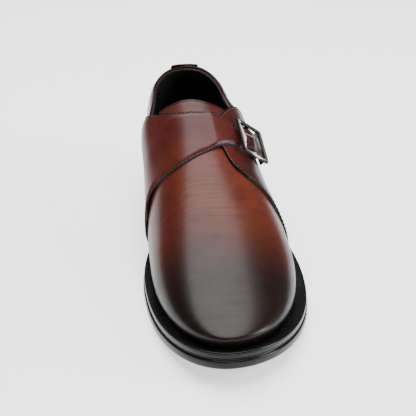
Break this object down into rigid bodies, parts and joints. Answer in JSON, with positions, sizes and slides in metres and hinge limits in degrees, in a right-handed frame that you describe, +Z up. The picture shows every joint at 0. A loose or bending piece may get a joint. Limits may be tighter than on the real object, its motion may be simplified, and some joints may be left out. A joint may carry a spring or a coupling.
{
  "type": "monk strap shoe",
  "caption": "Left low leather shoe with a strap over the instep that passes through a side buckle, a hollow foot-shaped upper, and a rubber sole with a heel.",
  "frame": {"origin": "on the floor, at the centre of the shoe's bounding box in plan", "axes": "-Y towards the toe, +X towards the outer (lateral) side where the buckle is, +Z up"},
  "size_m": [0.1096, 0.3, 0.1052],
  "materials": {
    "leather": "smooth, reddish brown, burnished dark at the toe and the edges",
    "lining": "matt black",
    "rubber": "semi-gloss black",
    "nickel": "grey polished nickel"
  },
  "bodies": {
    "root": {"upper": "leather", "quarter_inner_strap": "leather", "quarter_outer": "leather", "tongue": "leather", "back_strip": "leather", "insole": "lining", "midsole": "rubber", "outsole": "rubber", "heel_block": "rubber", "top_lift": "rubber", "buckle_frame": "nickel", "buckle_prong": "nickel", "buckle_chape": "leather"}
  },
  "joints": []
}
